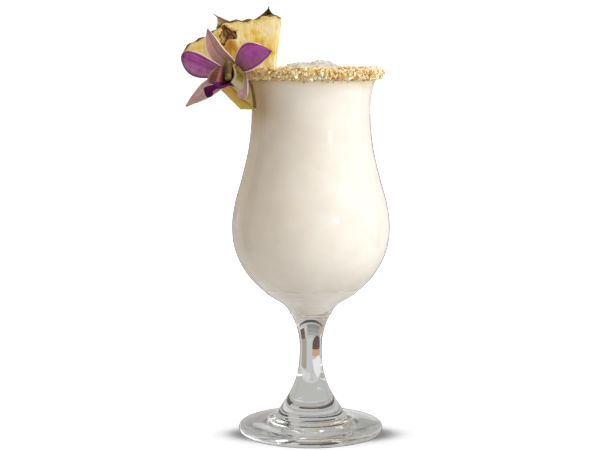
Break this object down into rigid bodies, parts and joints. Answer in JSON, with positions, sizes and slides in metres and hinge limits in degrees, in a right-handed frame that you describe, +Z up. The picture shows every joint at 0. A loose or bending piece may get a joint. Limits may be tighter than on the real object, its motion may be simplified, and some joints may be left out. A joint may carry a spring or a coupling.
{
  "type": "pina colada",
  "caption": "Creamy pina colada in a stemmed tulip glass with a golden sugar rim, icy cap, pineapple wedge and orchid garnish.",
  "frame": {"origin": "centre of the foot's flat underside, where the glass stands", "axes": "+Z up along the stem, -Y towards the viewer, -X towards the pineapple and orchid"},
  "size_m": [0.1039, 0.0794, 0.2154],
  "materials": {
    "glass": "clear polished soda glass",
    "drink": "opaque creamy liquid",
    "slush": "wet blended ice",
    "sugar": "coarse golden sugar crystals",
    "pineapple": "moist fibrous flesh with a dry brown rind",
    "orchid_green": "waxy green stalk",
    "orchid_petal": "soft purple petal with a pale edge",
    "orchid_sepal": "soft mauve veined sepal",
    "orchid_lip": "velvety deep purple",
    "orchid_column": "waxy olive brown"
  },
  "bodies": {
    "root": {"glass": "glass", "drink": "drink", "slush_cap": "slush", "sugar_rim": "sugar", "pineapple_wedge": "pineapple", "orchid_stalk": "orchid_green", "orchid_petal_left": "orchid_petal", "orchid_petal_right": "orchid_petal", "orchid_sepal_top": "orchid_sepal", "orchid_sepal_left": "orchid_sepal", "orchid_sepal_right": "orchid_sepal", "orchid_lip": "orchid_lip", "orchid_column": "orchid_column"}
  },
  "joints": []
}
